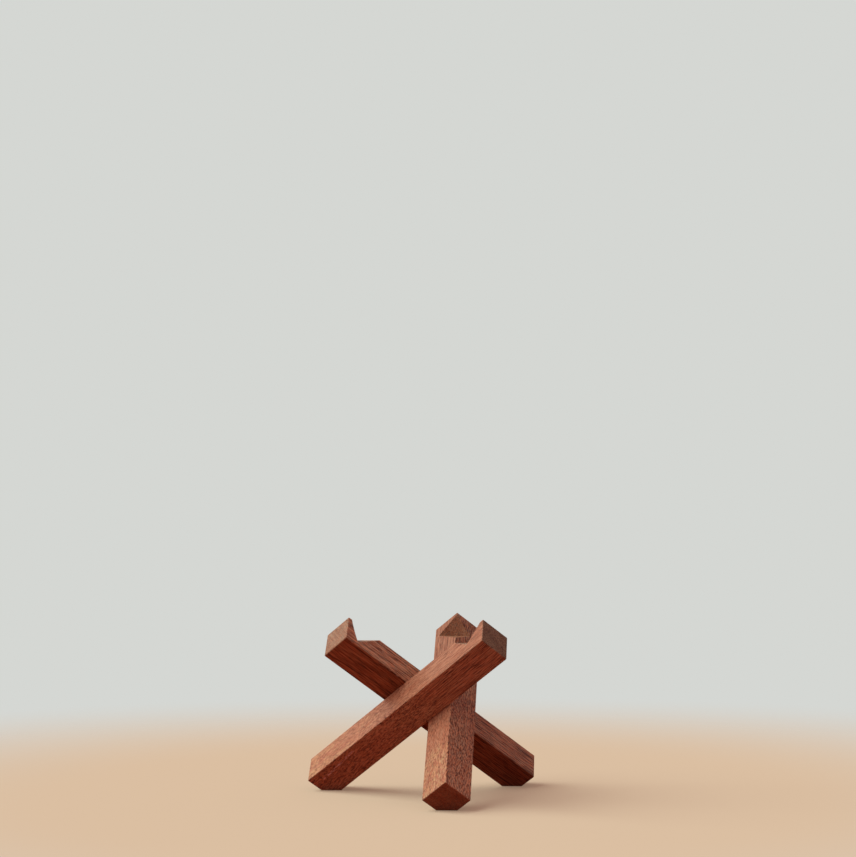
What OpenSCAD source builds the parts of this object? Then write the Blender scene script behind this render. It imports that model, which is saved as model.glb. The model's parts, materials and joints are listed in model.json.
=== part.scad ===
// A stand of three square hardwood bars that cross like a twisted tripod.
// The bars lie along the three edges of a cube that stands on one corner, so each bar
// meets both others at a right angle, face to face, and two hidden dowels hold each joint.
// The upper ends are cut back to a round seat between three prongs.
// The origin is on the floor, on the upright axis; +Z is up, and sizes are in millimetres.

/* [Leg bars] */
// Side of the square bar
bar_side = 38; // [28:1:48]
// Length of a leg from the crossing to its square lower end, before the foot is trimmed
leg_below = 168; // [120:1:220]
// Height of the corner that is trimmed off each foot so that it stands flat
foot_trim = 10; // [5:0.5:14]
// Width of the eased edges along the bars and round their square ends
arris = 0.6; // [0.3:0.1:2]
// Turn of the whole stand about its upright axis, in degrees
stand_turn = -34; // [-180:1:180]

/* [Seat] */
// Depth of the flat seat below the tips of the prongs
seat_depth = 28; // [20:1:34]
// Radius of the round base that the seat takes, at its lower edge
base_r = 88.5; // [70:0.5:120]
// Gap between that base and the wall of the seat
seat_gap = 0.5; // [0.2:0.1:3]
// Slope of the seat's wall away from upright, in degrees
wall_slope = 4; // [0:0.5:8]
// Wood left outside the seat's wall at the tip of each prong
tip_wall = 3.5; // [2:0.5:12]

/* [Dowels] */
// Diameter of a dowel
dowel_d = 8; // [5:0.5:10]
// Length of a dowel
dowel_len = 40; // [24:1:44]
// Width of the slanted edge at a dowel's ends
dowel_chamfer = 1; // [0.3:0.1:1.5]
// Number of glue flutes along a dowel
flute_count = 8; // [4:1:12]
// Radius of a glue flute
flute_r = 0.4; // [0.2:0.1:0.6]
// Distance between the two dowels of a joint, across the corner of the joint
dowel_spread = 24; // [18:1:28]
// Gap all round a dowel in its hole
dowel_gap = 0.05; // [0.02:0.01:0.2]
// Room for glue past each end of a dowel
glue_room = 0.5; // [0.2:0.1:1]

/* [Hidden] */
$fn = 96;

legs = 3;
leg_step = 360 / legs;
// Three bars at right angles to each other, evenly placed about the upright, rise at this angle
tilt = asin(1 / sqrt(3));
// The bars stand on edge: the other bars' faces meet their faces half-way round
edge_up = 45;
half_diagonal = bar_side / sqrt(2);
seat_r = base_r + seat_gap;
// The tip of a prong lies half_diagonal to one side of the radius that its leg runs along
tip_r = seat_r + seat_depth * tan(wall_slope) + tip_wall;
tip_run = sqrt(pow(tip_r, 2) - pow(half_diagonal, 2));
// Length of a leg from the crossing to its square upper end
leg_above = (tip_run + half_diagonal * sin(tilt)) / cos(tilt);
// The uncut foot's lowest corner would reach foot_trim below the floor
crossing_h = leg_below * sin(tilt) + half_diagonal * cos(tilt) - foot_trim;
tip_h = crossing_h + leg_above * sin(tilt) + half_diagonal * cos(tilt);
seat_h = tip_h - seat_depth;
// How far cutting shapes run past what they cut
over = 1;
reach = leg_below + bar_side;
seat_cut_h = seat_depth + over;
wood_red = [0.50, 0.26, 0.19];
wood_pale = [0.85, 0.72, 0.53];

// Turns what follows from a leg's own frame, where X runs up its length and the joint
// with the next leg lies in the plane Z = 0, to its place in the stand
module in_leg_frame(leg)
    rotate([0, 0, stand_turn + leg_step * leg])
        translate([0, 0, crossing_h])
            rotate([0, -tilt, 0])
                rotate([edge_up, 0, 0])
                    children();

// Rectangle from one corner to the other with its corners eased
module eased_rectangle(from, to, ease)
    polygon([
        [from[0] + ease, from[1]], [to[0] - ease, from[1]],
        [to[0], from[1] + ease], [to[0], to[1] - ease],
        [to[0] - ease, to[1]], [from[0] + ease, to[1]],
        [from[0], to[1] - ease], [from[0], from[1] + ease],
    ]);

// The square bar with all its edges eased: its section, plan and side view in one
module bar() {
    bar_len = leg_below + leg_above;
    intersection() {
        translate([-leg_below - over, 0, 0])
            rotate([90, 0, 90])
                linear_extrude(bar_len + 2 * over)
                    eased_rectangle([-bar_side, 0], [0, bar_side], arris);
        translate([0, 0, -over])
            linear_extrude(bar_side + 2 * over)
                eased_rectangle([-leg_below, -bar_side], [leg_above, 0], arris);
        translate([0, over, 0])
            rotate([90, 0, 0])
                linear_extrude(bar_side + 2 * over)
                    eased_rectangle([-leg_below, 0], [leg_above, bar_side], arris);
    }
}

// Everything below the floor, which trims the feet flat
module below_floor()
    translate([-reach, -reach, -reach])
        cube([2 * reach, 2 * reach, reach]);

// The round space that the seat is cut to, widening upwards
module seat_space()
    translate([0, 0, seat_h])
        cylinder(h = seat_cut_h, r1 = seat_r, r2 = seat_r + seat_cut_h * tan(wall_slope));

// Puts what follows at one of a joint's two dowels, with Z along the dowel and the joint
// at Z = 0. The pair lies on the diagonal of the square where the two bars touch.
module at_dowel(joint, place) {
    shift = (place - 1.5) * dowel_spread / sqrt(2);
    in_leg_frame(joint)
        translate([bar_side / 2 + shift, -bar_side / 2 + shift, 0])
            children();
}

// The holes for the two dowels of a joint, through both of its bars' faces
module joint_holes(joint) {
    hole_len = dowel_len + 2 * glue_room;
    for (place = [1, 2])
        at_dowel(joint, place)
            cylinder(h = hole_len, d = dowel_d + 2 * dowel_gap, center = true);
}

// A round hardwood dowel with slanted ends and straight glue flutes
module dowel() {
    half_len = dowel_len / 2;
    radius = dowel_d / 2;
    difference() {
        rotate_extrude()
            polygon([
                [0, -half_len], [radius - dowel_chamfer, -half_len],
                [radius, -half_len + dowel_chamfer], [radius, half_len - dowel_chamfer],
                [radius - dowel_chamfer, half_len], [0, half_len],
            ]);
        for (flute = [0 : flute_count - 1])
            rotate([0, 0, flute * 360 / flute_count])
                translate([radius, 0, 0])
                    cylinder(h = dowel_len + 2 * over, r = flute_r, center = true, $fn = 24);
    }
}

// One leg, cut to the floor and the seat and drilled for the joints with both other legs
module leg(index)
    color(wood_red)
        difference() {
            in_leg_frame(index) bar();
            below_floor();
            seat_space();
            joint_holes(index);
            joint_holes(index - 1);
        }

// One dowel of the joint between a leg and the next
module joint_dowel(joint, place)
    color(wood_pale)
        at_dowel(joint, place) dowel();

// Leg with its foot at the left and its prong at the right
module leg_right() leg(0);
// Leg with its foot in front and its prong at the back
module leg_back() leg(1);
// Leg with its foot at the back right and its prong at the left
module leg_left() leg(2);

leg_right();
leg_back();
leg_left();
joint_dowel(0, 1);  // dowel_right_back_1
joint_dowel(0, 2);  // dowel_right_back_2
joint_dowel(1, 1);  // dowel_back_left_1
joint_dowel(1, 2);  // dowel_back_left_2
joint_dowel(2, 1);  // dowel_left_right_1
joint_dowel(2, 2);  // dowel_left_right_2
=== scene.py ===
# %% [markdown]
# # A twisted tripod of three square hardwood bars
#
# The stand is three planed hardwood bars that lean on one another where they cross. Each bar
# lies along one edge of a cube that balances on its corner, so every bar is square to the
# other two and touches them face to face. Two hidden dowels hold each of the three joints.
# Above the crossing the bars are cut back to a round seat between three prongs, and below it
# each foot is trimmed level with the floor.
#
# The CAD model says where every piece is and how big. This lesson gives the pieces their
# looks: bars with softly eased edges, oiled reddish wood that is grown in three dimensions,
# pale dowels, and a plain studio to see them in.

import json
import math

import bpy
import numpy as np
from mathutils import Matrix, Vector


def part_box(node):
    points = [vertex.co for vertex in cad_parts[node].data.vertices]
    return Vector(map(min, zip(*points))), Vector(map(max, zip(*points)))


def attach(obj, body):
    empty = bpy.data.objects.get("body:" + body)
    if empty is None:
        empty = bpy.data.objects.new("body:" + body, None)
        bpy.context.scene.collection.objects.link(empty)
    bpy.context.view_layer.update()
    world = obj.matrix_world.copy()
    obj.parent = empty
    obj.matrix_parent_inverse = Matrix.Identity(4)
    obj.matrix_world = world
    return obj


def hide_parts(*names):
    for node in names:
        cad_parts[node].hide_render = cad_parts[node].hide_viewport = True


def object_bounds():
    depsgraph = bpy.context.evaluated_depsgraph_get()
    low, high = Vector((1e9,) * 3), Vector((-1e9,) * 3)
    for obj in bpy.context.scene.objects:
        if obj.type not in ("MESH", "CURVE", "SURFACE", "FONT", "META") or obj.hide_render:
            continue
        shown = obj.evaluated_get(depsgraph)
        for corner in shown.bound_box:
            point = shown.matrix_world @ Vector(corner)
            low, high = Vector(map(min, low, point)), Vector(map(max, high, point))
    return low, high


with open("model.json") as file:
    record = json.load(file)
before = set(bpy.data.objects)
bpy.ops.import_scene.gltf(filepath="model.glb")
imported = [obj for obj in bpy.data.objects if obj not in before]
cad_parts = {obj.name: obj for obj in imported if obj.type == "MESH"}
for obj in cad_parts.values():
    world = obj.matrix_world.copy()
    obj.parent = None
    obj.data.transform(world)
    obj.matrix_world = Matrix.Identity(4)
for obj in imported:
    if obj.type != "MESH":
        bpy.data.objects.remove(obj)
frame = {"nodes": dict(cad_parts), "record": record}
cad_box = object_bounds()
print("CAD box", [tuple(round(v, 4) for v in corner) for corner in cad_box])

# %% [markdown]
# ## The camera
#
# The photograph was taken from nearly two and a half metres away, from just above the top of
# the stand and looking a touch upwards, with a short telephoto lens. Such a distance keeps
# the bars' far ends almost as large as their near ends. A camera at the same place, with the
# same lens, is the only way to lay the render over the photograph: no other lens gives the
# same slants. The frame is nearly square, so the lens belongs to the long side.

# %% Camera at the photograph's viewing angle
CAMERA_PLACE = (-0.0014, -2.4545, 0.3300)
CAMERA_RISE = math.radians(2.187)
CAMERA_ROLL = math.radians(-0.175)
CAMERA_LENS_MM = 88.59
SENSOR_MM = 36.0


def photo_camera():
    """Stands level facing +Y, looks up by CAMERA_RISE, then rolls about its own line of sight."""
    data = bpy.data.cameras.new("photo_camera")
    data.lens = CAMERA_LENS_MM
    data.sensor_width = SENSOR_MM
    camera = bpy.data.objects.new("photo_camera", data)
    bpy.context.scene.collection.objects.link(camera)
    camera.matrix_world = (
        Matrix.Translation(CAMERA_PLACE)
        @ Matrix.Rotation(math.pi / 2 + CAMERA_RISE, 4, "X")
        @ Matrix.Rotation(CAMERA_ROLL, 4, "Z")
    )
    return camera


bpy.context.scene.camera = photo_camera()
bpy.context.scene.view_settings.view_transform = "Standard"
print("camera", round(math.dist(CAMERA_PLACE, (0, 0, 0)), 3), "m from the stand's foot")

# %% [markdown]
# ## A short way to write node trees
#
# Every finish here is a node tree, and a tree written in full takes ten lines for each small
# sum. A helper that adds one node at a call, and takes either a plain number or another
# node's output for each input, lets the formulas read like formulas.

# %% Helper that writes node trees
SEED_RATIOS = (1.0, 0.7, 1.3)


class Recipe:
    """A node tree in the making. Each method adds what it names and returns its output."""

    def __init__(self, tree):
        tree.nodes.clear()
        self.tree = tree

    def node(self, kind, inputs=(), **settings):
        """Adds a node, sets its properties, and fills the inputs with numbers or links."""
        node = self.tree.nodes.new(kind)
        for name, value in settings.items():
            setattr(node, name, value)
        for name, value in dict(inputs).items():
            if isinstance(value, bpy.types.NodeSocket):
                self.tree.links.new(value, node.inputs[name])
            else:
                node.inputs[name].default_value = value
        return node

    def maths(self, operation, *values):
        """One Math node: the operation on up to three numbers or outputs."""
        return self.node("ShaderNodeMath", enumerate(values), operation=operation).outputs[0]

    def vector(self, operation, *values, out=0, scale=None):
        """One Vector Math node, which may scale by a number or an output."""
        inputs = dict(enumerate(values)) | ({"Scale": scale} if scale is not None else {})
        return self.node("ShaderNodeVectorMath", inputs, operation=operation).outputs[out]

    def split(self, place):
        """The three numbers of a place, each as an output."""
        return self.node("ShaderNodeSeparateXYZ", {0: place}).outputs

    def attribute(self, name):
        """The number that the mesh stores under a name."""
        return self.node("ShaderNodeAttribute", attribute_name=name).outputs["Fac"]

    def step(self, value, low, high, to_low=0.0, to_high=1.0):
        """A smooth step: to_low below low, to_high above high, an S-shaped rise between."""
        inputs = {"Value": value, "From Min": low, "From Max": high, "To Min": to_low, "To Max": to_high}
        return self.node("ShaderNodeMapRange", inputs, interpolation_type="SMOOTHSTEP").outputs[0]

    def noise(self, place, size, detail, seed):
        """Smooth noise from 0 to 1 in lumps of a size (length, width, depth), in the units of place.

        The seed moves the place by a different amount each way, so no two noises look alike.
        """
        away = tuple(ratio * seed for ratio in SEED_RATIOS)
        moved = self.vector("ADD", self.vector("DIVIDE", place, size), away)
        inputs = {"Vector": moved, "Scale": 1.0, "Detail": detail}
        return self.node("ShaderNodeTexNoise", inputs).outputs["Fac"]

    def marks(self, place, look, seed):
        """Noise turned into marks: 0 below the look's limits, 1 above them, soft between."""
        shape = self.noise(place, look["size"], look["detail"], seed + look["seed"])
        return self.step(shape, *look["limits"])

    def blend(self, share, first, second, blend_type="MIX"):
        """Mixes two colours by share. The Mix node keeps its colours in sockets 6 and 7."""
        inputs = {0: share, 6: first, 7: second}
        return self.node("ShaderNodeMix", inputs, data_type="RGBA", blend_type=blend_type).outputs[2]

    def mix_shaders(self, share, first, second):
        """The first shader where share is 0, the second where it is 1."""
        return self.node("ShaderNodeMixShader", {0: share, 1: first, 2: second}).outputs[0]

    def any_of(self, *outputs):
        """1 where any of the outputs is 1."""
        total = outputs[0]
        for output in outputs[1:]:
            total = self.maths("MAXIMUM", total, output)
        return total


def colour(red, green, blue):
    """A colour in linear light, with its alpha."""
    return (red, green, blue, 1.0)


def new_material(name):
    """An empty material and the recipe that fills it."""
    material = bpy.data.materials.new(name)
    material.use_nodes = True
    return material, Recipe(material.node_tree)


print("node recipes ready")

# %% [markdown]
# ## The studio
#
# The stand is seen on a plain pale floor before a pale grey backdrop. The floor is a wide
# disc whose colour fades out with its radius, so from every side it runs softly into the
# backdrop, with no edge and nothing upright that a camera behind it would run into. The
# backdrop is the world's own colour, shown only to rays that come from the camera or that
# glance off gloss, and a dimmer sky does the lighting. Part of the floor's colour is given to
# such rays too, whatever falls on it, as stray light lifts the shadows on a real floor.

# %% A disc for the floor
FLOOR_FADE_STARTS = 0.42
FLOOR_FADE_ENDS = 1.30
FLOOR_RINGS = 60
FLOOR_SPOKES = 128


def disc_grid(radius, rings, spokes):
    """Point (i, j) lies at radius * i / rings from the middle, j / spokes of the way round."""
    run = np.linspace(radius / rings, radius, rings)[:, None]
    turn = np.linspace(0, 2 * np.pi, spokes, endpoint=False)[None, :]
    return np.stack([run * np.cos(turn), run * np.sin(turn), np.zeros((rings, spokes))], -1)


def mesh_object(name, points, faces):
    """Puts points and faces into a new mesh object that sits at the origin."""
    mesh = bpy.data.meshes.new(name)
    mesh.from_pydata(points.tolist(), [], faces)
    mesh.validate()
    thing = bpy.data.objects.new(name, mesh)
    bpy.context.scene.collection.objects.link(thing)
    return thing


def ring_quads(index):
    """The four-sided faces between each ring of point numbers and the next, all the way round."""
    after = np.roll(index, -1, 1)
    return np.stack([index[:-1], after[:-1], after[1:], index[1:]], -1).reshape(-1, 4).tolist()


def floor_disc():
    """A disc level with the soles of the feet, with its faces up."""
    grid = disc_grid(FLOOR_FADE_ENDS, FLOOR_RINGS, FLOOR_SPOKES)
    index = np.arange(FLOOR_RINGS * FLOOR_SPOKES).reshape(FLOOR_RINGS, FLOOR_SPOKES)
    faces = [face[::-1] for face in ring_quads(index)] + [index[0].tolist()]
    return mesh_object("floor", grid.reshape(-1, 3), faces)


floor = floor_disc()
print("floor", len(floor.data.polygons), "faces, up is", round(floor.data.polygons[0].normal.z, 1))

# %% Pale floor that fades into the backdrop
FLOOR_PALE = colour(0.668, 0.545, 0.375)
FLOOR_BOUNCE = colour(0.30, 0.052, 0.010)
FLOOR_LIFT = colour(0.70, 0.515, 0.352)
FLOOR_LIFT_SHARE = 0.25


def seen_or_glossy(recipe):
    """1 for rays from the camera and for rays that gloss or glass sends on, else 0."""
    path = recipe.node("ShaderNodeLightPath").outputs
    return recipe.any_of(path["Is Camera Ray"], path["Is Glossy Ray"], path["Is Transmission Ray"])


def floor_finish():
    """Matt floor with lifted shadows, see-through where it fades out and from underneath.

    The lift is a glow that only seen rays meet. It lights nothing, so it is not sampled as a lamp.
    """
    material, recipe = new_material("pale_floor")
    material.cycles.emission_sampling = "NONE"
    seen = seen_or_glossy(recipe)
    paint = recipe.blend(seen, FLOOR_BOUNCE, FLOOR_PALE)
    matt = recipe.node("ShaderNodeBsdfDiffuse", {"Color": paint}).outputs[0]
    lift = recipe.node("ShaderNodeEmission", {"Color": FLOOR_LIFT}).outputs[0]
    matt = recipe.mix_shaders(recipe.maths("MULTIPLY", seen, FLOOR_LIFT_SHARE), matt, lift)
    clear = recipe.node("ShaderNodeBsdfTransparent").outputs[0]
    place = recipe.node("ShaderNodeTexCoord").outputs["Object"]
    radius = recipe.vector("LENGTH", place, out=1)
    gone = recipe.step(radius, FLOOR_FADE_STARTS, FLOOR_FADE_ENDS)
    below = recipe.node("ShaderNodeNewGeometry").outputs["Backfacing"]
    shown = recipe.mix_shaders(recipe.any_of(gone, below), matt, clear)
    recipe.node("ShaderNodeOutputMaterial", {"Surface": shown})
    return material


floor.data.materials.append(floor_finish())
print("the floor fades out from", FLOOR_FADE_STARTS, "to", FLOOR_FADE_ENDS, "m")

# %% [markdown]
# ## The light
#
# In the photograph one broad light falls almost squarely from the left, so each bar has a
# bright left face, a cooler right face and a dark saturated front face that sees little but
# the floor. A sun lamp with a wide disc is that light: unlike a lamp close by, it lights the
# floor evenly and still gives the shadows a soft rim. A weak pinkish sky fills the rest, and
# the floor sends up a red-orange light of its own, apart from the colour it shows: together
# they give the dark faces the deep tone that the photograph's colouring gives them.

# %% A broad key light
KEY_AZIMUTH = math.radians(177)
KEY_RISE = math.radians(42)
KEY_WIDTH = math.radians(62)
KEY_STRENGTH = 3.3
KEY_TINT = (0.92, 1.02, 1.02)


def key_light():
    """A sun lamp that shines down from KEY_AZIMUTH and KEY_RISE."""
    data = bpy.data.lights.new("key_light", "SUN")
    data.angle = KEY_WIDTH
    data.energy = KEY_STRENGTH
    data.color = KEY_TINT
    lamp = bpy.data.objects.new("key_light", data)
    bpy.context.scene.collection.objects.link(lamp)
    flat = math.cos(KEY_RISE)
    toward = Vector((math.cos(KEY_AZIMUTH) * flat, math.sin(KEY_AZIMUTH) * flat, math.sin(KEY_RISE)))
    lamp.location = toward
    lamp.rotation_euler = toward.to_track_quat("Z", "Y").to_euler()


key_light()
print("key light", round(math.degrees(KEY_RISE)), "degrees up,", round(math.degrees(KEY_WIDTH)), "wide")

# %% A weak sky and a pale backdrop
BACKDROP = colour(0.664, 0.679, 0.652)
BACKDROP_STRENGTH = 1.0
SKY = colour(1.0, 0.58, 0.60)
SKY_STRENGTH = 0.42


def sky():
    """The backdrop's colour for rays that are seen, a dimmer sky for light."""
    world = bpy.data.worlds.new("studio")
    bpy.context.scene.world = world
    world.use_nodes = True
    recipe = Recipe(world.node_tree)
    light, seen = [
        recipe.node("ShaderNodeBackground", {"Color": tint, "Strength": strength}).outputs[0]
        for tint, strength in ((SKY, SKY_STRENGTH), (BACKDROP, BACKDROP_STRENGTH))
    ]
    shown = recipe.mix_shaders(seen_or_glossy(recipe), light, seen)
    recipe.node("ShaderNodeOutputWorld", {"Surface": shown})


sky()
print("sky at", SKY_STRENGTH, "and backdrop at", BACKDROP_STRENGTH)

# %% [markdown]
# ## Where each bar lies
#
# A cube that stands on its corner has three edges rising from it, a third of a turn apart,
# and each rises at the angle whose sine is one over the root of three. The bars lie along
# them. Their own axes come from turning the stand's axes step by step, and their size is
# read off the CAD model by looking along those axes, so a bar always fits its joints.

# %% Axes and size of each bar
STAND_TURN = math.radians(-34)
THIRD = math.radians(120)
TILT = math.asin(1 / math.sqrt(3))
EDGE_UP = math.radians(45)
LEGS = ("leg_right", "leg_back", "leg_left")
MILLIMETRE = 0.001


def bar_axes(number):
    """Columns are a bar's own X, up its length, and its Y and Z, square to its side faces."""
    turn = Matrix.Rotation(STAND_TURN + number * THIRD, 3, "Z")
    return np.array(turn @ Matrix.Rotation(-TILT, 3, "Y") @ Matrix.Rotation(EDGE_UP, 3, "X"))


def vertex_points(mesh):
    """All the corners of a mesh as an array."""
    points = np.empty(len(mesh.vertices) * 3, np.float32)
    mesh.vertices.foreach_get("co", points)
    return points.reshape(-1, 3).astype(float)


def bar_span(node, axes):
    """The lowest and highest reach of a CAD node along each of a bar's own axes."""
    along = vertex_points(frame["nodes"][node].data) @ axes
    return along.min(0), along.max(0)


for number, name in enumerate(LEGS):
    low, high = bar_span(name, bar_axes(number))
    print(name, "length, width and depth in mm:", np.round((high - low) / MILLIMETRE, 2))

# %% [markdown]
# ## The shapes that a joiner starts from
#
# A joiner starts from a sharp square bar and takes wood away: the foot with one level saw
# cut, the seat with a router on a round guide, and the dowel holes with a drill. Each of
# these is a flat outline carried along a straight path, or a slanted line turned about the
# upright axis, so one small function that joins rings of points makes them all.

# %% Solids from rings of points
def ring_solid(name, rings):
    """Rings of points, one after the other, joined by faces and closed by a flat cap at each end."""
    stations, around = rings.shape[:2]
    index = np.arange(stations * around).reshape(stations, around)
    faces = ring_quads(index) + [index[0, ::-1].tolist(), index[-1].tolist()]
    return mesh_object(name, rings.reshape(-1, 3), faces)


def circle(steps):
    """Points on a circle of radius 1 at even steps: the cosine and sine of each angle."""
    angle = np.linspace(0, 2 * np.pi, steps, endpoint=False)
    return np.stack([np.cos(angle), np.sin(angle)], -1)


def square(low, high):
    """The four corners of a rectangle, from its lowest and highest corner."""
    return np.array([[low[0], low[1]], [high[0], low[1]], [high[0], high[1]], [low[0], high[1]]])


def lifted(outline, heights):
    """An outline in X and Y, repeated at each height."""
    return np.stack([np.c_[outline, np.full(len(outline), height)] for height in heights])


def carried(outline, start, end, axes):
    """An outline in a bar's Y and Z, carried along its X from start to end."""
    flat = np.broadcast_to(outline, (2, *outline.shape))
    run = np.broadcast_to(np.array([start, end])[:, None, None], (2, len(outline), 1))
    return np.concatenate([run, flat], -1) @ axes.T


def turned(radii, heights, steps):
    """A line through (radius, height) points, turned about the upright axis."""
    flat = np.array(radii)[:, None, None] * circle(steps)[None]
    up = np.broadcast_to(np.array(heights)[:, None, None], (len(heights), steps, 1))
    return np.concatenate([flat, up], -1)


print("outlines can be lifted, carried and turned")

# %% Where the seat is
SEAT_SLOPE = math.radians(4)
TOUCH = 1e-5

mounts = {mount["name"]: Vector(mount["pos_m"]) for mount in frame["record"]["mounts"]}
SEAT_HEIGHT = mounts["round_seat"].z
leg_points = vertex_points(frame["nodes"]["leg_right"].data)
on_seat = np.abs(leg_points[:, 2] - SEAT_HEIGHT) < TOUCH
SEAT_RADIUS = np.hypot(leg_points[on_seat, 0], leg_points[on_seat, 1]).max()
print("seat", round(SEAT_HEIGHT / MILLIMETRE, 2), "mm up, radius", round(SEAT_RADIUS / MILLIMETRE, 2), "mm")

# %% [markdown]
# ## Sawing and routing the bars
#
# Each leg starts as a plain square bar and loses two things: all that lies below the floor,
# and a round space over the seat that widens a little upwards. A Boolean modifier takes one
# closed shape out of another, just as a saw or a router does, and lays the new faces exactly
# on the tool's path.

# %% Saw the feet and rout the seat
OVER = 0.001
SEAT_STEPS = 240
STAND_TOP = cad_box[1].z
SAW_REACH = 0.42
SAW_DEPTH = 0.05


def work_in(thing):
    """Swaps an object's mesh for the one that its modifiers make of it, and drops the modifiers."""
    graph = bpy.context.evaluated_depsgraph_get()
    finished = bpy.data.meshes.new_from_object(
        thing.evaluated_get(graph), preserve_all_data_layers=True, depsgraph=graph
    )
    rough = thing.data
    thing.modifiers.clear()
    thing.data = finished
    bpy.data.meshes.remove(rough)
    finished.name = thing.name


def cut_away(thing, cutters):
    """Takes each cutter out of the thing, then bins the cutters."""
    for cutter in cutters:
        cut = thing.modifiers.new("cut", "BOOLEAN")
        cut.operation = "DIFFERENCE"
        cut.solver = "EXACT"
        cut.object = cutter
    work_in(thing)
    for cutter in cutters:
        bpy.data.objects.remove(cutter)


def sharp_bar(number):
    """The uncut square bar, which reaches exactly as far as the CAD leg."""
    axes = bar_axes(number)
    low, high = bar_span(LEGS[number], axes)
    return ring_solid(LEGS[number] + "_oiled", carried(square(low[1:], high[1:]), low[0], high[0], axes))


def seat_space():
    """The round space over the seat, widening upwards by SEAT_SLOPE."""
    rise = STAND_TOP + OVER - SEAT_HEIGHT
    radii = (SEAT_RADIUS, SEAT_RADIUS + rise * math.tan(SEAT_SLOPE))
    return ring_solid("seat_space", turned(radii, (SEAT_HEIGHT, SEAT_HEIGHT + rise), SEAT_STEPS))


def below_floor():
    """A slab with its top at the floor, wider than the feet stand."""
    outline = square((-SAW_REACH,) * 2, (SAW_REACH,) * 2)
    return ring_solid("below_floor", lifted(outline, (-SAW_DEPTH, 0)))


def sawn_leg(number):
    """A square bar without what lies below the floor or in the seat's space."""
    leg = sharp_bar(number)
    cut_away(leg, [below_floor(), seat_space()])
    return leg


legs = {name: sawn_leg(number) for number, name in enumerate(LEGS)}
print("sawn legs have", [len(leg.data.polygons) for leg in legs.values()], "faces")

# %% [markdown]
# ## Easing the edges
#
# A Boolean cut leaves edges that no real bar has: perfectly sharp ones. A joiner takes every
# outer edge off with a few strokes of fine paper, more on the long edges and the ends than
# on the cuts, and the light catches that small round. The inner corner where the seat's flat
# meets its wall stays crisp, as the cutter left it. An edge is where two of the leg's
# surfaces meet, so the distance to each surface, worked out for all the edges at once, tells
# which ones to ease, and one Bevel modifier rounds them by their weights.

# %% Which edges are eased
CUT_ARRIS_SHARE = 0.4
FAR = 1.0
OWN_FACES = 6


def surface_distances(points, number):
    """How far each point is from each surface of a leg.

    First come the bar's own six faces: along its X, Y and Z, the three lowest and then the
    three highest. After them come the foot, the seat's flat and the seat's wall.
    """
    axes = bar_axes(number)
    low, high = bar_span(LEGS[number], axes)
    inside = points @ axes
    radius = np.hypot(points[:, 0], points[:, 1])
    above = points[:, 2] - SEAT_HEIGHT
    beyond = (radius - SEAT_RADIUS - above * math.tan(SEAT_SLOPE)) * math.cos(SEAT_SLOPE)
    flat = np.where(beyond < TOUCH, np.abs(above), FAR)
    wall = np.where(above > -TOUCH, np.abs(beyond), FAR)
    return np.column_stack([inside - low, high - inside, points[:, 2], flat, wall])


def edge_middles(mesh):
    """The middle of each edge."""
    ends = np.empty(len(mesh.edges) * 2, np.int32)
    mesh.edges.foreach_get("vertices", ends)
    return vertex_points(mesh)[ends.reshape(-1, 2)].mean(1)


def weigh_edges(mesh, number):
    """Weight 1 where two of the bar's own faces meet, a share where a cut meets a face, 0 elsewhere."""
    touching = np.abs(surface_distances(edge_middles(mesh), number)) < TOUCH
    own, cuts = touching[:, :OWN_FACES].sum(1), touching[:, OWN_FACES:].sum(1)
    weight = np.where(own > 1, 1.0, np.where((own > 0) & (cuts > 0), CUT_ARRIS_SHARE, 0.0))
    mesh.attributes.new("bevel_weight_edge", "FLOAT", "EDGE").data.foreach_set("value", weight)
    return int((own > 1).sum()), int(((own == 1) & (cuts > 0)).sum())


for number, (name, leg) in enumerate(legs.items()):
    print(name, "has own edges and cut edges to ease:", weigh_edges(leg.data, number))

# %% Ease the edges
ARRIS = 0.0010
ARRIS_STEPS = 4


def ease_edges(leg):
    """Rounds the weighted edges, in ARRIS_STEPS flats, by their weight times ARRIS."""
    ease = leg.modifiers.new("eased edges", "BEVEL")
    ease.limit_method = "WEIGHT"
    ease.width = ARRIS
    ease.segments = ARRIS_STEPS
    ease.use_clamp_overlap = False
    work_in(leg)


for name, leg in legs.items():
    ease_edges(leg)
    print(name, "eased by", ARRIS / MILLIMETRE, "mm, at the cuts", CUT_ARRIS_SHARE, "of that")

# %% [markdown]
# ## Drilling for the dowels
#
# The holes are drilled last, through faces that are already clean. Each is a circle round a
# CAD dowel, carried along it, and a little longer and wider: a real dowel slides in, and the
# glue needs room. Shading comes after all the cutting, because every cut changes it: the
# eased edges shade round, and a Weighted Normal modifier keeps each large face flat.

# %% Drill and shade the legs
HOLE_STEPS = 48
DOWEL_ROOM = 0.00005
GLUE_ROOM = 0.0005
SMOOTH_BELOW = math.radians(30)
WEIGHT_BY_AREA = 100


def dowel_names(joint):
    """The two dowels of the joint between a leg and the next."""
    pair = [LEGS[leg % len(LEGS)].removeprefix("leg_") for leg in (joint, joint + 1)]
    return [f"dowel_{pair[0]}_{pair[1]}_{place}" for place in (1, 2)]


def dowel_hole(node, axes):
    """A drilled hole: a circle round a CAD dowel, carried along it, with room for a slip fit and glue."""
    low, high = bar_span(node, axes)
    outline = circle(HOLE_STEPS) * ((high - low)[0] / 2 + DOWEL_ROOM) + (low + high)[:2] / 2
    return ring_solid("hole", lifted(outline, (low[2] - GLUE_ROOM, high[2] + GLUE_ROOM)) @ axes.T)


def dowel_holes(number):
    """Cutters for a leg's four holes: its joint with the next leg and the last leg's joint with it."""
    joints = (number, (number - 1) % len(LEGS))
    return [dowel_hole(node, bar_axes(joint)) for joint in joints for node in dowel_names(joint)]


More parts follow.
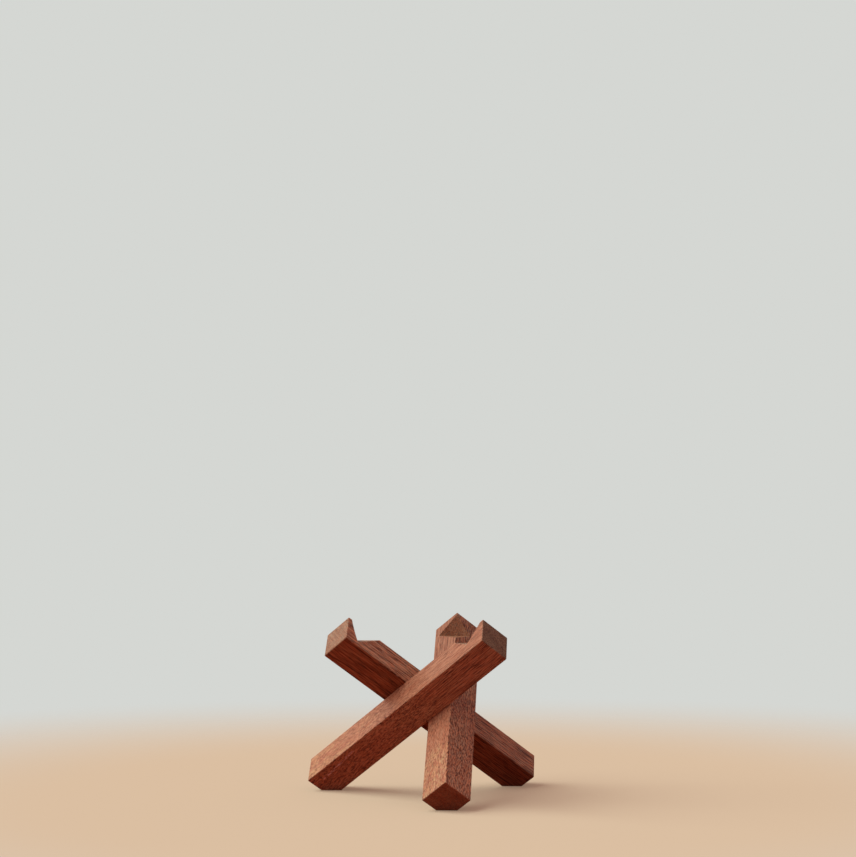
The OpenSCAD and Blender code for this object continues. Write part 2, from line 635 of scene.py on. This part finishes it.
def settle_normals(leg):
    """Shades the eased edges round and keeps every large face flat."""
    leg.data.shade_smooth()
    leg.data.set_sharp_from_angle(angle=SMOOTH_BELOW)
    flat = leg.modifiers.new("flat faces", "WEIGHTED_NORMAL")
    flat.weight = WEIGHT_BY_AREA
    flat.keep_sharp = True
    work_in(leg)


for number, (name, leg) in enumerate(legs.items()):
    cut_away(leg, dowel_holes(number))
    settle_normals(leg)
    print(name, "drilled, with", len(leg.data.polygons), "faces")

# %% [markdown]
# ## Seating the legs in the frame
#
# The boxes of the two legs should agree to a fraction of a millimetre, and the new leg
# should be the smaller one, because its edges are rounder.

# %% Seat each leg in the frame
def off_by(leg, name):
    """How far the finished leg's box lies from the CAD leg's, in millimetres."""
    points = vertex_points(leg.data)
    low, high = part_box(name)
    return np.round(np.concatenate([points.min(0) - low, points.max(0) - high]) / MILLIMETRE, 3)


for name, leg in legs.items():
    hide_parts(name)
    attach(leg, "root")
    print(name, "off the CAD box by, mm:", off_by(leg, name))

# %% [markdown]
# ## Wood that is grown, not painted
#
# The bars are a reddish-brown hardwood with open pores, like mahogany, wiped with oil. A
# picture of wood wrapped round a bar would not meet at the edges and would show long grain
# on the sawn ends. So the pattern fills space: each point is given its place in the tree the
# bar was sawn from, by how far it lies along the grain, round the tree and out from the
# pith. Every layer of the figure is noise in those three numbers, stretched as that layer is
# stretched in wood. A face that looks at the pith then shows arches and short flecks, the
# next one fine straight lines, and an end shows rings and dots, all from one recipe.

# %% Where a point lies in its tree
NOISE_MIDDLE = 0.5


def own_place(recipe, node, axes):
    """Object coordinates centred on a CAD node and turned to a bar's axes, in millimetres."""
    low, high = bar_span(node, axes)
    inputs = {
        "Vector": recipe.node("ShaderNodeTexCoord").outputs["Object"],
        "Location": axes @ (low + high) / 2,
        "Rotation": Matrix(axes.tolist()).to_euler(),
        "Scale": (MILLIMETRE,) * 3,
    }
    return recipe.node("ShaderNodeMapping", inputs, vector_type="TEXTURE").outputs[0]


def bend_grain(recipe, place, bar):
    """Moves each point sideways by a slow noise, up to half of the bar's bend either way."""
    slow = recipe.vector("ADD", recipe.vector("DIVIDE", place, bar["bend_size"]), (bar["seed"],) * 3)
    inputs = {"Vector": slow, "Scale": 1.0, "Detail": 1.0}
    wander = recipe.node("ShaderNodeTexNoise", inputs).outputs["Color"]
    swing = recipe.vector("SUBTRACT", wander, (NOISE_MIDDLE,) * 3)
    return recipe.vector("ADD", place, recipe.vector("MULTIPLY", swing, (0.0, bar["bend"], bar["bend"])))


def tree_place(recipe, place, bar):
    """Along the grain, round the tree and out from the pith.

    The pith is a leaning line beside the bar. Out is the distance from that line, and round
    is how far sideways the point lies, seen from the pith.
    """
    along, *beside = recipe.split(bend_grain(recipe, place, bar))
    across = [
        recipe.maths("SUBTRACT", recipe.maths("MULTIPLY_ADD", along, -lean, side), pith)
        for side, lean, pith in zip(beside, bar["lean"], bar["pith"])
    ]
    away = math.hypot(*bar["pith"])
    toward = [-pith / away for pith in bar["pith"]]
    forth = recipe.maths("MULTIPLY", across[0], toward[0])
    forth = recipe.maths("MULTIPLY_ADD", across[1], toward[1], forth)
    sideways = recipe.maths("MULTIPLY", across[1], toward[0])
    sideways = recipe.maths("MULTIPLY_ADD", across[0], -toward[1], sideways)
    out = recipe.maths("MULTIPLY_ADD", forth, forth, recipe.maths("MULTIPLY", sideways, sideways))
    out = recipe.maths("SQRT", out)
    return recipe.node("ShaderNodeCombineXYZ", {0: along, 1: sideways, 2: out}).outputs[0]


print("tree coordinates ready")

# %% [markdown]
# ## The figure, layer by layer
#
# Oiled mahogany has a handful of layers that show at different distances: soft growth bands
# and broad ribbons from a step away, fine dark lines, clusters of pores and pale dashes
# closer up, and the single pores with the finest fibre at arm's length. A pore is a cut tube
# of the wood: a short fleck where the saw left the bar's face at a slant to the grain, and a
# long straight streak where it ran along it. Most pores crowd together in the clusters,
# which reads as dark flecks from afar.
#
# Each layer below is a share from 0 to 1. Its look gives the size of its marks as length,
# width and depth in millimetres, along the grain, round the tree and out from the pith, the
# limits between which its noise turns into a mark, and the mean that comes of them. The
# patches and the cast change the wood's hue and not its tone, so they need no mean.

# %% Layers of the figure
LAYERS = {
    "band": {"size": (220.0, 34.0, 3.4), "detail": 3.0, "seed": 0, "limits": (0.30, 0.70), "mean": 0.50},
    "ribbon": {"size": (75.0, 20.0, 7.0), "detail": 1.0, "seed": 5, "limits": (0.30, 0.70), "mean": 0.50},
    "line": {"size": (60.0, 1.3, 0.8), "detail": 2.0, "seed": 9, "limits": (0.52, 0.66), "mean": 0.25},
    "dash": {"size": (13.0, 0.9, 0.8), "detail": 1.0, "seed": 37, "limits": (0.52, 0.66), "mean": 0.27},
}
TINT_LAYERS = {
    "patch": {"size": (42.0, 11.0, 11.0), "detail": 2.0, "seed": 49, "limits": (0.36, 0.64)},
    "cast": {"size": (6.0, 1.3, 1.2), "detail": 1.0, "seed": 57, "limits": (0.36, 0.64)},
}
CLUSTER = {"seed": 13, "detail": 1.0, "limits": (0.39, 0.61), "mean": 0.50}
CLUSTER_SIZES = ((4.0, 1.0, 0.9), (34.0, 1.0, 0.9))
PORE = {"seed": 21, "detail": 1.0, "limits": (0.48, 0.64), "mean": 0.18}
PORE_SIZES = ((5.0, 0.42, 0.38), (14.0, 0.42, 0.38))
LONG_SEED = 2
SHORT_TO_LONG = 50.0
LONE_PORES = 0.1
FIBRE_SIZE = (9.0, 0.24, 0.2)
FIBRE_DETAIL = 2.0
FIBRE_SEED = 17


def short_or_long(recipe, tree, bar, look, sizes):
    """A layer of short marks towards the foot that gives way to long ones past a place along the bar."""
    short = recipe.marks(tree, look | {"size": sizes[0]}, bar["seed"])
    long = recipe.marks(tree, look | {"size": sizes[1], "seed": look["seed"] + LONG_SEED}, bar["seed"])
    along = recipe.split(tree)[0]
    share = recipe.step(along, bar["short_until"], bar["short_until"] + SHORT_TO_LONG)
    return recipe.maths("MULTIPLY_ADD", recipe.maths("SUBTRACT", long, short), share, short)


def wood_layers(recipe, tree, bar):
    """Each layer of the figure as a share from 0 to 1. Few pores lie outside the clusters."""
    layer = {name: recipe.marks(tree, look, bar["seed"]) for name, look in (LAYERS | TINT_LAYERS).items()}
    layer["cluster"] = short_or_long(recipe, tree, bar, CLUSTER, CLUSTER_SIZES)
    crowd = recipe.maths("MULTIPLY_ADD", layer["cluster"], 1 - LONE_PORES, LONE_PORES)
    layer["pore"] = recipe.maths("MULTIPLY", short_or_long(recipe, tree, bar, PORE, PORE_SIZES), crowd)
    layer["fibre"] = recipe.noise(tree, FIBRE_SIZE, FIBRE_DETAIL, bar["seed"] + FIBRE_SEED)
    return layer


print("layers:", ", ".join([*LAYERS, *TINT_LAYERS, "cluster", "pore", "fibre"]))

# %% [markdown]
# ## Three bars from three boards
#
# No two of the bars look alike, because they were sawn from different boards. Each bar below
# says where the pith lay beside it, in millimetres along its Y and Z (pith), how that line
# leans (lean), how far and how slowly the grain bends (bend, bend_size), and where along the
# bar its pores turn from short to long (short_until). Its weights say how much each layer
# darkens or lightens it, and rift_share and end_share how much of that shows on a face that
# looks away from the pith and on an end. The rest are small changes of colour: painted shade
# along the bar from foot to prong (painted_shade_along), a tint on its ends (end_tint), painted
# shade by its -Z face (painted_shade_tint), fine marks (cast), and silken dashes, partly a
# painted sheen, that die out into painted shade between two places (painted_silk_sheen, silk_size).

# %% The three bars
# In each bar, the change along it and the tint by its -Z face are painted shade, and the places where its
# silken dashes die out mark painted sheen giving way to painted shade.
BARS = {
    "leg_right": {
        "pith": (-70.0, 14.0), "lean": (0.020, 0.015), "bend": 1.6, "bend_size": (70.0, 24.0, 24.0),
        "seed": 3.1, "short_until": 20.0, "painted_shade_along": (1.06, 0.92), "rift_share": 0.64, "end_share": 0.88,
        "end_tint": colour(0.57, 0.71, 0.78), "painted_shade_tint": colour(1.0, 1.0, 0.94),
        "cast": 0.45, "painted_silk_sheen": (-150.0, 15.0), "silk_size": (16.0, 0.95, 0.9),
        "weights": {
            "band": 0.08, "ribbon": 0.07, "line": -0.20, "cluster": -0.36, "pore": -1.15, "dash": 0.44,
        },
    },
    "leg_back": {
        "pith": (10.0, -46.0), "lean": (0.010, 0.050), "bend": 2.6, "bend_size": (45.0, 20.0, 20.0),
        "seed": 11.7, "short_until": -10.0, "painted_shade_along": (1.05, 0.80), "rift_share": 0.34, "end_share": 0.30,
        "end_tint": colour(0.70, 0.70, 0.70), "painted_shade_tint": colour(1.0, 1.0, 1.0),
        "cast": 1.0, "painted_silk_sheen": (-88.0, -60.0), "silk_size": (4.6, 1.1, 1.05),
        "weights": {
            "band": 0.10, "ribbon": 0.07, "line": -0.55, "cluster": -0.62, "pore": -1.70, "dash": 0.56,
        },
    },
    "leg_left": {
        "pith": (-70.0, -28.0), "lean": (-0.010, 0.012), "bend": 0.7, "bend_size": (90.0, 24.0, 24.0),
        "seed": 23.4, "short_until": -400.0, "painted_shade_along": (0.86, 1.11), "rift_share": 0.40, "end_share": 0.58,
        "end_tint": colour(0.69, 0.76, 0.83), "painted_shade_tint": colour(0.65, 0.52, 0.42),
        "cast": 1.0, "painted_silk_sheen": (-210.0, -200.0), "silk_size": (5.0, 1.1, 1.05),
        "weights": {
            "band": 0.08, "ribbon": 0.05, "line": -0.95, "cluster": -0.80, "pore": -1.90, "dash": 0.80,
        },
    },
}

print("piths at", {name: bar["pith"] for name, bar in BARS.items()}, "mm from the bars' middles")

# %% [markdown]
# ## How the saw met the grain
#
# Some things depend on the piece, not on the tree. Sawn across the grain, wood drinks more
# oil and turns greyer, and the figure is bold on a face that looks at the pith and quiet on
# the next one. So each leg carries two attributes: how squarely its surface crosses the
# grain, and how squarely it faces the pith.

# %% Mark the ends and the flat-sawn faces
END_ABOVE = 0.9


def mark_share(leg, attribute, direction):
    """Stores, for each face corner, the share of its normal that points along a direction, either way."""
    mesh = leg.data
    normals = np.empty(len(mesh.loops) * 3, np.float32)
    mesh.corner_normals.foreach_get("vector", normals)
    share = np.abs(normals.reshape(-1, 3) @ direction)
    mesh.attributes.new(attribute, "FLOAT", "CORNER").data.foreach_set("value", share.astype(np.float32))
    return share


for number, (name, leg) in enumerate(legs.items()):
    axes = bar_axes(number)
    ends = mark_share(leg, "end_grain", axes[:, 0])
    pith = np.array(BARS[name]["pith"])
    mark_share(leg, "flat_sawn", axes[:, 1:] @ (pith / np.linalg.norm(pith)))
    print(name, "end grain on", round(float((ends > END_ABOVE).mean()) * 100), "% of its face corners")

# %% [markdown]
# ## Worn edges with a painted highlight
#
# Handling rubs the edges pale in small broken dots, and the same pale dots are a painted
# highlight where light would catch the eased edges. How far a point lies from each of the
# bar's three pairs of faces tells how near it is to an edge: there, two of the three
# distances are small, so the middle one of them is small too.

# %% Worn edges with a painted highlight
WEAR_REACH = (0.5, 1.5)
WEAR_SHARE = 0.35
WEAR_DOTS = {"size": (3.0, 1.2, 1.2), "detail": 2.0, "seed": 41, "limits": (0.52, 0.64)}
WEAR_RUNS = {"size": (40.0, 12.0, 12.0), "detail": 1.0, "seed": 45, "limits": (0.42, 0.60)}


def edge_wear_and_highlight(recipe, place, number, seed):
    """1 in broken dots of wear and painted highlight, where the middle one of the distances to the bar's
    pairs of faces is small.
    """
    low, high = bar_span(LEGS[number], bar_axes(number))
    half = tuple((high - low) / 2 / MILLIMETRE)
    depth = recipe.vector("SUBTRACT", half, recipe.vector("ABSOLUTE", place))
    ends, sides, others = recipe.split(depth)
    nearest = recipe.maths("MINIMUM", ends, sides)
    middle = recipe.maths("MINIMUM", recipe.maths("MAXIMUM", ends, sides), others)
    middle = recipe.maths("MAXIMUM", nearest, middle)
    near = recipe.maths("MULTIPLY", recipe.step(middle, *WEAR_REACH, to_low=1.0, to_high=0.0), WEAR_SHARE)
    dots, runs = [recipe.marks(place, look, seed) for look in (WEAR_DOTS, WEAR_RUNS)]
    return recipe.maths("MULTIPLY", near, recipe.maths("MULTIPLY", dots, runs))


print("wear reaches", WEAR_REACH[1], "mm in from the edges")

# %% [markdown]
# ## Chalk in the pores
#
# Mahogany often has pores filled with a chalky deposit. One bar shows some on its front face:
# a string of pale dashes by its foot, which slants a little towards the upper edge. They are
# fine streaks that show only close to a slanting line under that face.

# %% A string of chalky pores
CHALK_BAR = "leg_right"
CHALK_FOOT = (-134.0, -19.0, 7.0)
CHALK_TOP = (-76.0, -19.0, 12.2)
CHALK_REACH = (0.5, 1.9)
CHALK_DASHES = {"size": (3.6, 0.8, 0.8), "detail": 1.0, "seed": 5, "limits": (0.50, 0.57)}


def chalky_pores(recipe, place):
    """1 in pale dashes near the line from CHALK_FOOT to CHALK_TOP, else 0.

    The nearest point of that line is found by going along it as far as the point does.
    """
    foot, top = Vector(CHALK_FOOT), Vector(CHALK_TOP)
    length, run = (top - foot).length, (top - foot).normalized()
    offset = recipe.vector("SUBTRACT", place, tuple(foot))
    along = recipe.vector("DOT_PRODUCT", offset, tuple(run), out=1)
    along = recipe.node("ShaderNodeClamp", {"Value": along, "Min": 0.0, "Max": length}).outputs[0]
    nearest = recipe.vector("SCALE", tuple(run), scale=along)
    away = recipe.vector("LENGTH", recipe.vector("SUBTRACT", offset, nearest), out=1)
    near = recipe.step(away, *CHALK_REACH, to_low=1.0, to_high=0.0)
    return recipe.maths("MULTIPLY", near, recipe.marks(place, CHALK_DASHES, 0.0))


print("chalk runs over", round((Vector(CHALK_TOP) - Vector(CHALK_FOOT)).length), "mm of", CHALK_BAR)

# %% [markdown]
# ## From figure to colour
#
# The layers are added up to one tone from dark to light, and a colour ramp turns that tone
# into dark, usual or light heartwood. Weighing each layer by its departure from its mean
# keeps the wood's average colour where it is, however bold the figure grows.

# %% Tone and heartwood
HEARTWOOD_DARK = colour(0.118, 0.046, 0.028)
HEARTWOOD = colour(0.380, 0.164, 0.082)
HEARTWOOD_LIGHT = colour(0.600, 0.320, 0.180)
MIDDLE_TONE = 0.5
FIBRE_WEIGHT = 0.35
END_RINGS = 0.18
FACES_PITH = (0.2, 0.8)
MEANS = {name: look["mean"] for name, look in (LAYERS | {"cluster": CLUSTER, "pore": PORE}).items()}


def heartwood(recipe, tone):
    """Dark, usual and light wood along a tone from 0 to 1."""
    ramp = recipe.node("ShaderNodeValToRGB", {0: tone})
    ramp.color_ramp.elements[0].color = HEARTWOOD_DARK
    ramp.color_ramp.elements[1].color = HEARTWOOD_LIGHT
    ramp.color_ramp.elements.new(MIDDLE_TONE).color = HEARTWOOD
    return ramp.outputs[0]


def figure_tone(recipe, layer, bar, flat, end):
    """The middle tone, plus each layer's departure from its mean times its weight.

    These departures show less on a face that looks away from the pith and on the ends, where
    the growth bands are added once more, because they are rings there.
    """
    figure = recipe.maths("MULTIPLY", recipe.maths("SUBTRACT", layer["fibre"], NOISE_MIDDLE), FIBRE_WEIGHT)
    for name, weight in bar["weights"].items():
        departure = recipe.maths("SUBTRACT", layer[name], MEANS[name])
        figure = recipe.maths("MULTIPLY_ADD", departure, weight, figure)
    shown = recipe.step(flat, *FACES_PITH, bar["rift_share"], 1.0)
    shown = recipe.maths("MULTIPLY_ADD", end, recipe.maths("SUBTRACT", bar["end_share"], shown), shown)
    bands = recipe.maths("SUBTRACT", layer["band"], MEANS["band"])
    rings = recipe.maths("MULTIPLY", bands, recipe.maths("MULTIPLY", end, END_RINGS))
    return recipe.maths("ADD", recipe.maths("MULTIPLY_ADD", figure, shown, MIDDLE_TONE), rings)


print("heartwood from", HEARTWOOD_DARK[:3], "to", HEARTWOOD_LIGHT[:3])

# %% [markdown]
# ## Painted shade along and across the bars
#
# The colour is made darker or lighter along each bar, from its foot to its prong: a painted
# shade for light that falls unevenly along the bar. One bar is also painted much darker and
# redder by its -Z face, and another a little: a painted shade too. Both are plain functions
# of the place in the bar, so they run on round the edges as the figure does.

# %% Painted shade along the bar and across it
PAINTED_SHADE_DEPTH = 4.0
NO_TINT = colour(1.0, 1.0, 1.0)


def painted_length_shade(recipe, place, number, bar):
    """Painted shade: how much darker or lighter the colour is made along the bar, from foot to prong."""
    low, high = bar_span(LEGS[number], bar_axes(number))
    half = (high - low)[0] / 2 / MILLIMETRE
    along = recipe.split(place)[0]
    foot, prong = bar["painted_shade_along"]
    inputs = {"Value": along, "From Min": -half, "From Max": half, "To Min": foot, "To Max": prong}
    return recipe.node("ShaderNodeMapRange", inputs).outputs[0]


def painted_side_shade(recipe, place, number, bar):
    """Painted shade: the tint that darkens and reddens the colour near the bar's -Z face."""
    low, high = bar_span(LEGS[number], bar_axes(number))
    face = (low - high)[2] / 2 / MILLIMETRE
    across = recipe.split(place)[2]
    return recipe.blend(recipe.step(across, face, face + PAINTED_SHADE_DEPTH), bar["painted_shade_tint"], NO_TINT)


# Prints how deep the painted shade by the -Z face reaches.
print("the heart side's tint is", PAINTED_SHADE_DEPTH, "mm deep")

# %% [markdown]
# ## Silk with a painted sheen, and shifting hues
#
# Where the saw ran along the tree's rays, oiled wood has a silken look: short tan dashes that
# shine out of redder wood, in patches. Here the tan dashes are partly a painted sheen, crowded
# near the foot, and the redder wood that takes over along the bar is a painted shade. Where it
# is flat sawn, or cut to an end, fine marks of redder and greyer wood lie side by side. All are
# tints that multiply the colour, so the darker pores stay dark underneath.

# %% Silk with painted sheen and shade, patches and fine marks
PATCH_RED = colour(0.985, 0.93, 0.915)
PATCH_TAN = colour(1.015, 1.07, 1.07)
CAST_RED = colour(1.12, 0.95, 0.86)
CAST_GREY = colour(0.88, 1.02, 1.12)
CAST_ON_RAYS = 0.4
# Tan is a painted sheen and red a painted shade, for the silken dashes on faces along the rays.
SILK_TAN_PAINTED_SHEEN = colour(1.13, 1.31, 1.22)
SILK_RED_PAINTED_SHADE = colour(0.95, 0.83, 0.85)
SILK_DETAIL = 1.0
SILK_SEED = 61
SILK_PATCH_SIZE = (26.0, 9.0, 9.0)
SILK_PATCH_SEED = 65
SILK_PATCH_SHARE = 0.5
SILK_LIMITS = (0.72, 0.85)
SILK_FADE = 0.30
ALONG_RAYS = (0.3, 0.7)


def painted_silk_sheen(recipe, place, bar):
    """1 in painted-sheen tan dashes that crowd in patches near the foot and die out along the bar."""
    fine = recipe.noise(place, bar["silk_size"], SILK_DETAIL, bar["seed"] + SILK_SEED)
    patch = recipe.noise(place, SILK_PATCH_SIZE, SILK_DETAIL, bar["seed"] + SILK_PATCH_SEED)
    along = recipe.split(place)[0]
    gone = recipe.step(along, *bar["painted_silk_sheen"], to_low=0.0, to_high=SILK_FADE)
    crowd = recipe.maths("MULTIPLY_ADD", patch, SILK_PATCH_SHARE, fine)
    return recipe.step(recipe.maths("SUBTRACT", crowd, gone), *SILK_LIMITS)


def hues(recipe, tint, place, layer, bar, flat, end):
    """Tan and red in wide patches and silken dashes, and red and grey in fine marks.

    The silken dashes, a painted sheen in tan and a painted shade in red, show where the saw ran
    along the tree's rays, the fine marks on flat-sawn faces and end grain.
    """
    tint = recipe.blend(1.0, tint, recipe.blend(layer["patch"], PATCH_RED, PATCH_TAN), "MULTIPLY")
    turned_away = recipe.maths("MAXIMUM", flat, end)
    shown = recipe.step(turned_away, *FACES_PITH, CAST_ON_RAYS, 1.0)
    shown = recipe.maths("MULTIPLY", shown, bar["cast"])
    tint = recipe.blend(shown, tint, recipe.blend(layer["cast"], CAST_RED, CAST_GREY), "MULTIPLY")
    along_rays = recipe.step(turned_away, *ALONG_RAYS, 1.0, 0.0)
    # Silken dashes: tan painted sheen near the foot, red painted shade along the rest.
    painted_silk_tint = recipe.blend(painted_silk_sheen(recipe, place, bar), SILK_RED_PAINTED_SHADE, SILK_TAN_PAINTED_SHEEN)
    return recipe.blend(along_rays, tint, painted_silk_tint, "MULTIPLY")


print("silk dashes, in mm:", {name: bar["silk_size"] for name, bar in BARS.items()})

# %% [markdown]
# ## The oiled finish
#
# Oil soaks in and forms no film, so the surface stays nearly as matt as bare wood: the
# gloss is weak, and the pores and the ends are rougher still. The only relief is that of the
# pores and the fibre, a few hundredths of a millimetre deep, which a Bump node can give.

# %% The oiled hardwood
# The pale colour of worn edges, also a painted highlight on them.
WORN_AND_HIGHLIGHT = colour(0.62, 0.42, 0.30)
CHALK = colour(0.85, 0.66, 0.62)
CHALK_SHARE = 0.75
FIBRE_LIMITS = (0.3, 0.7)
FIBRE_ROUGH = (0.40, 0.50)
PORE_ROUGH = 0.20
END_ROUGH = 0.12
FIBRE_HEIGHT = 0.5
PORE_DEPTH = 0.00006
OIL_GLOSS = 0.06


def wood_colour(recipe, name, number, place, layer, end):
    """The figure's tone picks the colour; painted shade, hues with a painted sheen, end grain, worn edges
    with a painted highlight, and chalk change it.
    """
    bar = BARS[name]
    flat = recipe.attribute("flat_sawn")
    tint = heartwood(recipe, figure_tone(recipe, layer, bar, flat, end))
    # Painted shade along the bar, then painted shade by its -Z face.
    tint = recipe.vector("SCALE", tint, scale=painted_length_shade(recipe, place, number, bar))
    tint = recipe.blend(1.0, tint, painted_side_shade(recipe, place, number, bar), "MULTIPLY")
    tint = hues(recipe, tint, place, layer, bar, flat, end)
    tint = recipe.blend(end, tint, recipe.blend(1.0, tint, bar["end_tint"], "MULTIPLY"))
    # Pale dots on the edges: wear and a painted edge highlight.
    tint = recipe.blend(edge_wear_and_highlight(recipe, place, number, bar["seed"]), tint, WORN_AND_HIGHLIGHT)
    if name == CHALK_BAR:
        tint = recipe.blend(recipe.maths("MULTIPLY", chalky_pores(recipe, place), CHALK_SHARE), tint, CHALK)
    return tint


def oiled_wood(name, number):
    """One bar's wood: its colour, and a matt surface that its pores and ends make rougher."""
    material, recipe = new_material("oiled_" + name)
    place = own_place(recipe, name, bar_axes(number))
    layer = wood_layers(recipe, tree_place(recipe, place, BARS[name]), BARS[name])
    end = recipe.attribute("end_grain")
    rough = recipe.step(layer["fibre"], *FIBRE_LIMITS, *FIBRE_ROUGH)
    rough = recipe.maths("MULTIPLY_ADD", layer["pore"], PORE_ROUGH, rough)
    rough = recipe.maths("MULTIPLY_ADD", end, END_ROUGH, rough)
    fibres = recipe.maths("MULTIPLY", layer["fibre"], FIBRE_HEIGHT)
    height = recipe.maths("MULTIPLY_ADD", layer["pore"], -1.0, fibres)
    relief = {"Height": height, "Distance": PORE_DEPTH, "Strength": 1.0}
    shader = recipe.node("ShaderNodeBsdfPrincipled", {
        "Base Color": wood_colour(recipe, name, number, place, layer, end),
        "Roughness": rough,
        "Normal": recipe.node("ShaderNodeBump", relief).outputs[0],
        "Specular IOR Level": OIL_GLOSS,
    })
    recipe.node("ShaderNodeOutputMaterial", {"Surface": shader.outputs[0]})
    return material


for number, (name, leg) in enumerate(legs.items()):
    leg.data.materials.clear()
    leg.data.materials.append(oiled_wood(name, number))
    print(name, "finished in", leg.data.materials[0].name)

# %% [markdown]
# ## The dowels
#
# The dowels are the CAD model's own pieces, sealed inside the joints. Real ones are turned
# from pale straight-grained birch and left raw, so that they soak up the glue. Their finish
# is again grown in space: fine lines that run along each dowel's own axis, which turn to
# dots at its ends. The meshes are left alone, and only their material slots are filled.

# %% Raw birch for the dowels
BIRCH_PALE = colour(0.76, 0.58, 0.36)
BIRCH_DEEP = colour(0.60, 0.42, 0.23)
BIRCH_LINE_SIZE = (0.7, 0.5, 14.0)
BIRCH_LINE_DETAIL = 3.0
BIRCH_FIBRE_SIZE = (0.12, 0.12, 5.0)
BIRCH_FIBRE_DETAIL = 2.0
BIRCH_FIBRE_SEED = 7
BIRCH_FIBRE_SHARE = 0.4
BIRCH_LINE_SHARE = 0.6
BIRCH_LIMITS = (0.35, 0.65)
BIRCH_ROUGH = 0.62
BIRCH_DEPTH = 0.00002
JOINT_SEED = 3.0


def raw_birch(node, axes, seed):
    """Pale wood with straight lines along a dowel's own Z axis."""
    material, recipe = new_material("raw_birch_" + node.removeprefix("dowel_"))
    place = own_place(recipe, node, axes)
    line = recipe.noise(place, BIRCH_LINE_SIZE, BIRCH_LINE_DETAIL, seed)
    fibre = recipe.noise(place, BIRCH_FIBRE_SIZE, BIRCH_FIBRE_DETAIL, seed + BIRCH_FIBRE_SEED)
    grain = recipe.maths("MULTIPLY", line, BIRCH_LINE_SHARE)
    grain = recipe.maths("MULTIPLY_ADD", fibre, BIRCH_FIBRE_SHARE, grain)
    shader = recipe.node("ShaderNodeBsdfPrincipled", {
        "Base Color": recipe.blend(recipe.step(grain, *BIRCH_LIMITS), BIRCH_DEEP, BIRCH_PALE),
        "Roughness": BIRCH_ROUGH,
        "Normal": recipe.node("ShaderNodeBump", {"Height": fibre, "Distance": BIRCH_DEPTH}).outputs[0],
    })
    recipe.node("ShaderNodeOutputMaterial", {"Surface": shader.outputs[0]})
    return material


for joint in range(len(LEGS)):
    for place, node in enumerate(dowel_names(joint), 1):
        dowel = frame["nodes"][node]
        finish = raw_birch(node, bar_axes(joint), JOINT_SEED * joint + place)
        for slot in dowel.material_slots:
            slot.link = "OBJECT"
            slot.material = finish
        print(node, "is of", [slot.material.name for slot in dowel.material_slots])
